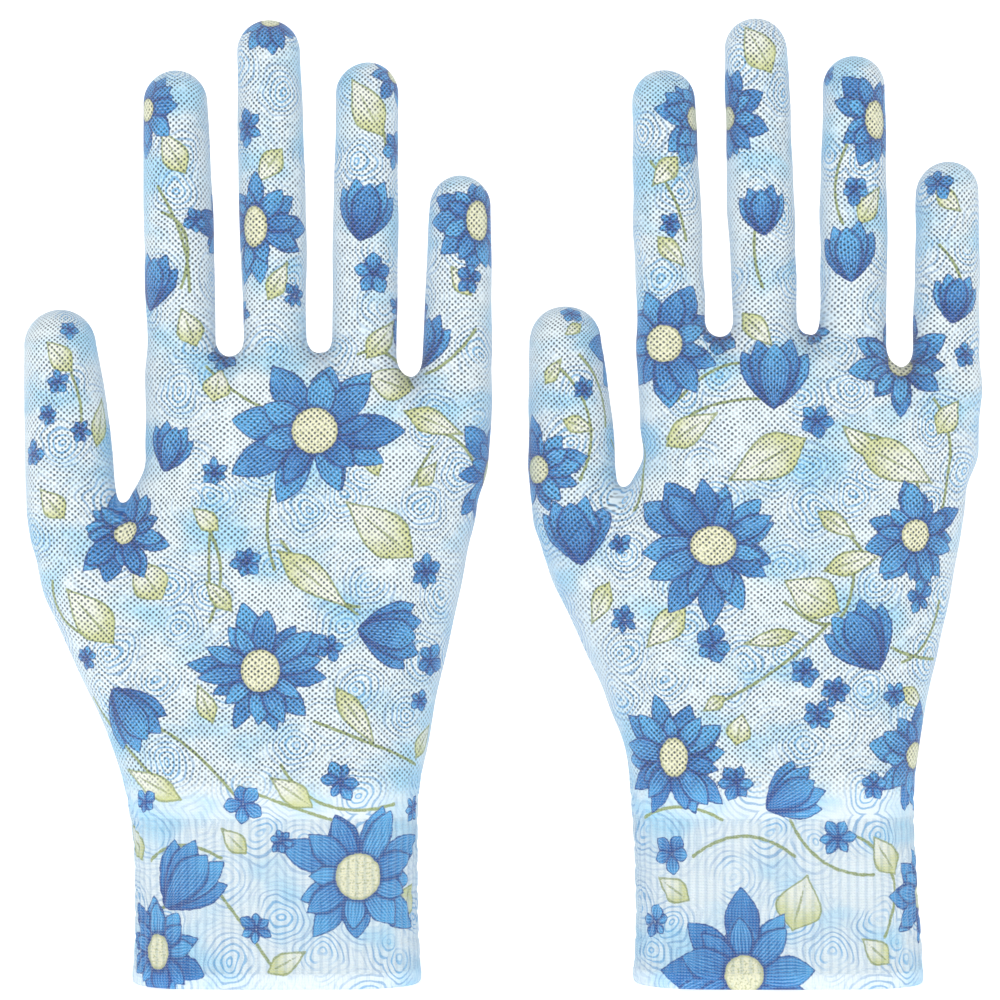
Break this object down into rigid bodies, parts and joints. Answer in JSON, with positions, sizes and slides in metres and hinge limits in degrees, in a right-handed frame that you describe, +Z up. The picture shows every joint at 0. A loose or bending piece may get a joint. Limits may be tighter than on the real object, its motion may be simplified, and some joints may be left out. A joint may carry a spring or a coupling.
{
  "type": "gardening gloves",
  "caption": "Pair of seamless-knit gardening gloves in a blue floral print, with ribbed elastic cuffs, each finger and thumb bending at its flex lines.",
  "frame": {"origin": "middle of the pair, on the surface that the hems stand on", "axes": "+X across the pair, towards the right glove's little finger; +Z up along the fingers; the left glove's palm faces -Y and the right glove's back faces -Y"},
  "size_m": [0.2301, 0.0306, 0.2309],
  "materials": {
    "printed_knit": "soft knitted polyester with a printed floral pattern",
    "rib_knit": "tighter ribbed knit with the same print",
    "elastic_yarn": "covered elastic yarn",
    "hem_thread": "overlocked polyester thread"
  },
  "bodies": {
    "left_palm": {"left_palm": "printed_knit", "left_cuff_rib": "rib_knit", "left_cuff_elastic": "elastic_yarn", "left_hem_overlock": "hem_thread"},
    "left_thumb_root": {"left_thumb_root": "printed_knit"},
    "left_thumb_tip": {"left_thumb_tip": "printed_knit"},
    "left_index_root": {"left_index_root": "printed_knit"},
    "left_index_mid": {"left_index_mid": "printed_knit"},
    "left_index_tip": {"left_index_tip": "printed_knit"},
    "left_middle_root": {"left_middle_root": "printed_knit"},
    "left_middle_mid": {"left_middle_mid": "printed_knit"},
    "left_middle_tip": {"left_middle_tip": "printed_knit"},
    "left_ring_root": {"left_ring_root": "printed_knit"},
    "left_ring_mid": {"left_ring_mid": "printed_knit"},
    "left_ring_tip": {"left_ring_tip": "printed_knit"},
    "left_little_root": {"left_little_root": "printed_knit"},
    "left_little_mid": {"left_little_mid": "printed_knit"},
    "left_little_tip": {"left_little_tip": "printed_knit"},
    "right_palm": {"right_palm": "printed_knit", "right_cuff_rib": "rib_knit", "right_cuff_elastic": "elastic_yarn", "right_hem_overlock": "hem_thread"},
    "right_thumb_root": {"right_thumb_root": "printed_knit"},
    "right_thumb_tip": {"right_thumb_tip": "printed_knit"},
    "right_index_root": {"right_index_root": "printed_knit"},
    "right_index_mid": {"right_index_mid": "printed_knit"},
    "right_index_tip": {"right_index_tip": "printed_knit"},
    "right_middle_root": {"right_middle_root": "printed_knit"},
    "right_middle_mid": {"right_middle_mid": "printed_knit"},
    "right_middle_tip": {"right_middle_tip": "printed_knit"},
    "right_ring_root": {"right_ring_root": "printed_knit"},
    "right_ring_mid": {"right_ring_mid": "printed_knit"},
    "right_ring_tip": {"right_ring_tip": "printed_knit"},
    "right_little_root": {"right_little_root": "printed_knit"},
    "right_little_mid": {"right_little_mid": "printed_knit"},
    "right_little_tip": {"right_little_tip": "printed_knit"}
  },
  "joints": [
    {"name": "left_thumb_root_bend", "type": "hinge", "parent": "left_palm", "child": "left_thumb_root", "pos_m": [-0.1024, -0.0136, 0.1145], "axis": [0.9959, 0, 0.0903], "range_deg": [0, 45]},
    {"name": "left_thumb_tip_bend", "type": "hinge", "parent": "left_thumb_root", "child": "left_thumb_tip", "pos_m": [-0.10429, -0.01265, 0.13534], "axis": [0.9959, 0, 0.0903], "range_deg": [0, 65]},
    {"name": "left_index_root_bend", "type": "hinge", "parent": "left_palm", "child": "left_index_root", "pos_m": [-0.0765, -0.0083, 0.1544], "axis": [0.9997, 0, 0.025], "range_deg": [0, 80]},
    {"name": "left_index_mid_bend", "type": "hinge", "parent": "left_index_root", "child": "left_index_mid", "pos_m": [-0.07708, -0.00816, 0.17744], "axis": [0.9997, 0, 0.025], "range_deg": [0, 90]},
    {"name": "left_index_tip_bend", "type": "hinge", "parent": "left_index_mid", "child": "left_index_tip", "pos_m": [-0.07757, -0.00805, 0.19728], "axis": [0.9997, 0, 0.025], "range_deg": [0, 60]},
    {"name": "left_middle_root_bend", "type": "hinge", "parent": "left_palm", "child": "left_middle_root", "pos_m": [-0.054, -0.0079, 0.1539], "axis": [0.9998, 0, 0.0222], "range_deg": [0, 80]},
    {"name": "left_middle_mid_bend", "type": "hinge", "parent": "left_middle_root", "child": "left_middle_mid", "pos_m": [-0.05461, -0.00777, 0.18144], "axis": [0.9998, 0, 0.0222], "range_deg": [0, 90]},
    {"name": "left_middle_tip_bend", "type": "hinge", "parent": "left_middle_mid", "child": "left_middle_tip", "pos_m": [-0.05514, -0.00766, 0.20516], "axis": [0.9998, 0, 0.0222], "range_deg": [0, 60]},
    {"name": "left_ring_root_bend", "type": "hinge", "parent": "left_palm", "child": "left_ring_root", "pos_m": [-0.0325, -0.0078, 0.1534], "axis": [0.9999, 0, -0.012], "range_deg": [0, 80]},
    {"name": "left_ring_mid_bend", "type": "hinge", "parent": "left_ring_root", "child": "left_ring_mid", "pos_m": [-0.03221, -0.00767, 0.17748], "axis": [0.9999, 0, -0.012], "range_deg": [0, 90]},
    {"name": "left_ring_tip_bend", "type": "hinge", "parent": "left_ring_mid", "child": "left_ring_tip", "pos_m": [-0.03196, -0.00756, 0.19822], "axis": [0.9999, 0, -0.012], "range_deg": [0, 60]},
    {"name": "left_little_root_bend", "type": "hinge", "parent": "left_palm", "child": "left_little_root", "pos_m": [-0.0103, -0.008, 0.1486], "axis": [0.9997, 0, -0.0247], "range_deg": [0, 80]},
    {"name": "left_little_mid_bend", "type": "hinge", "parent": "left_little_root", "child": "left_little_mid", "pos_m": [-0.0099, -0.00786, 0.16466], "axis": [0.9997, 0, -0.0247], "range_deg": [0, 90]},
    {"name": "left_little_tip_bend", "type": "hinge", "parent": "left_little_mid", "child": "left_little_tip", "pos_m": [-0.00956, -0.00774, 0.17848], "axis": [0.9997, 0, -0.0247], "range_deg": [0, 60]},
    {"name": "right_thumb_root_bend", "type": "hinge", "parent": "right_palm", "child": "right_thumb_root", "pos_m": [0.0178, 0.0136, 0.119], "axis": [-0.9965, 0, -0.0834], "range_deg": [0, 45]},
    {"name": "right_thumb_tip_bend", "type": "hinge", "parent": "right_thumb_root", "child": "right_thumb_tip", "pos_m": [0.01618, 0.01264, 0.13835], "axis": [-0.9965, 0, -0.0834], "range_deg": [0, 65]},
    {"name": "right_index_root_bend", "type": "hinge", "parent": "right_palm", "child": "right_index_root", "pos_m": [0.041, 0.0082, 0.1584], "axis": [-0.9993, 0, -0.0366], "range_deg": [0, 80]},
    {"name": "right_index_mid_bend", "type": "hinge", "parent": "right_index_root", "child": "right_index_mid", "pos_m": [0.04021, 0.00806, 0.18], "axis": [-0.9993, 0, -0.0366], "range_deg": [0, 90]},
    {"name": "right_index_tip_bend", "type": "hinge", "parent": "right_index_mid", "child": "right_index_tip", "pos_m": [0.03953, 0.00795, 0.1986], "axis": [-0.9993, 0, -0.0366], "range_deg": [0, 60]},
    {"name": "right_middle_root_bend", "type": "hinge", "parent": "right_palm", "child": "right_middle_root", "pos_m": [0.0636, 0.0079, 0.1577], "axis": [-0.9993, 0, -0.0369], "range_deg": [0, 80]},
    {"name": "right_middle_mid_bend", "type": "hinge", "parent": "right_middle_root", "child": "right_middle_mid", "pos_m": [0.06263, 0.00777, 0.18405], "axis": [-0.9993, 0, -0.0369], "range_deg": [0, 90]},
    {"name": "right_middle_tip_bend", "type": "hinge", "parent": "right_middle_mid", "child": "right_middle_tip", "pos_m": [0.06179, 0.00766, 0.20674], "axis": [-0.9993, 0, -0.0369], "range_deg": [0, 60]},
    {"name": "right_ring_root_bend", "type": "hinge", "parent": "right_palm", "child": "right_ring_root", "pos_m": [0.0848, 0.0079, 0.1571], "axis": [-1, 0, 0.0031], "range_deg": [0, 80]},
    {"name": "right_ring_mid_bend", "type": "hinge", "parent": "right_ring_root", "child": "right_ring_mid", "pos_m": [0.08487, 0.00777, 0.18039], "axis": [-1, 0, 0.0031], "range_deg": [0, 90]},
    {"name": "right_ring_tip_bend", "type": "hinge", "parent": "right_ring_mid", "child": "right_ring_tip", "pos_m": [0.08493, 0.00766, 0.20045], "axis": [-1, 0, 0.0031], "range_deg": [0, 60]},
    {"name": "right_little_root_bend", "type": "hinge", "parent": "right_palm", "child": "right_little_root", "pos_m": [0.1072, 0.008, 0.1516], "axis": [-1, 0, 0.0067], "range_deg": [0, 80]},
    {"name": "right_little_mid_bend", "type": "hinge", "parent": "right_little_root", "child": "right_little_mid", "pos_m": [0.10731, 0.00786, 0.1678], "axis": [-1, 0, 0.0067], "range_deg": [0, 90]},
    {"name": "right_little_tip_bend", "type": "hinge", "parent": "right_little_mid", "child": "right_little_tip", "pos_m": [0.1074, 0.00774, 0.18175], "axis": [-1, 0, 0.0067], "range_deg": [0, 60]},
    {"name": "right_glove_slide", "type": "slide", "parent": "left_palm", "child": "right_palm", "axis": [1, 0, 0], "range_m": [0, 0.1]}
  ],
  "couplings": [
    {"joint": "left_index_tip_bend", "follows": "left_index_mid_bend", "ratio": 0.66667},
    {"joint": "left_middle_tip_bend", "follows": "left_middle_mid_bend", "ratio": 0.66667},
    {"joint": "left_ring_tip_bend", "follows": "left_ring_mid_bend", "ratio": 0.66667},
    {"joint": "left_little_tip_bend", "follows": "left_little_mid_bend", "ratio": 0.66667},
    {"joint": "right_index_tip_bend", "follows": "right_index_mid_bend", "ratio": 0.66667},
    {"joint": "right_middle_tip_bend", "follows": "right_middle_mid_bend", "ratio": 0.66667},
    {"joint": "right_ring_tip_bend", "follows": "right_ring_mid_bend", "ratio": 0.66667},
    {"joint": "right_little_tip_bend", "follows": "right_little_mid_bend", "ratio": 0.66667}
  ]
}
